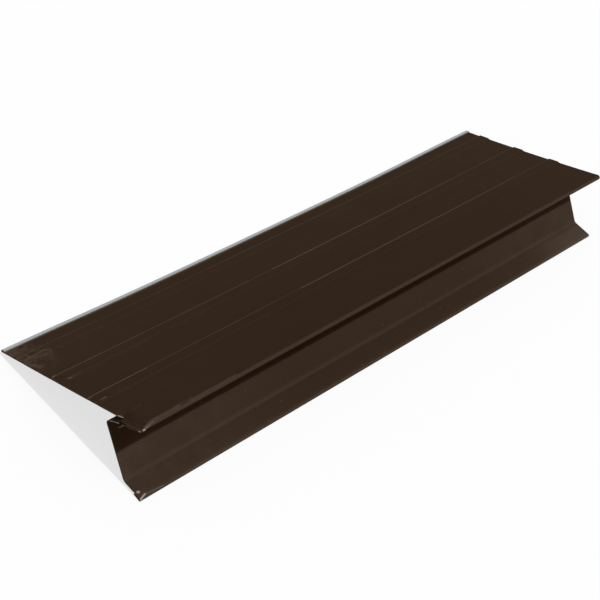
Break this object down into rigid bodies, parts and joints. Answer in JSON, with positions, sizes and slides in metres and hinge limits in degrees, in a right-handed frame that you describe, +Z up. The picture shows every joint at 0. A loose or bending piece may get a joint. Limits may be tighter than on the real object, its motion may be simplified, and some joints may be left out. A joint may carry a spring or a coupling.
{
  "type": "roof edge trim",
  "caption": "Roll-formed roof edge trim with a ribbed deck flange, rounded overhanging nose, leaning face and kicked-out hemmed lip that throws water clear of the fascia.",
  "frame": {"origin": "on the floor, under the middle of the trim's box, with the trim lying as it rests on its bottom hem and its back edge", "axes": "+X along the trim's length, +Y level from the nose towards the roof, +Z up; the flange slopes down towards +Y by about 23.5 degrees"},
  "size_m": [0.305, 0.0872, 0.0334],
  "materials": {
    "painted_sheet": "satin"
  },
  "bodies": {
    "root": {"roof_edge_trim": "painted_sheet"}
  },
  "joints": []
}
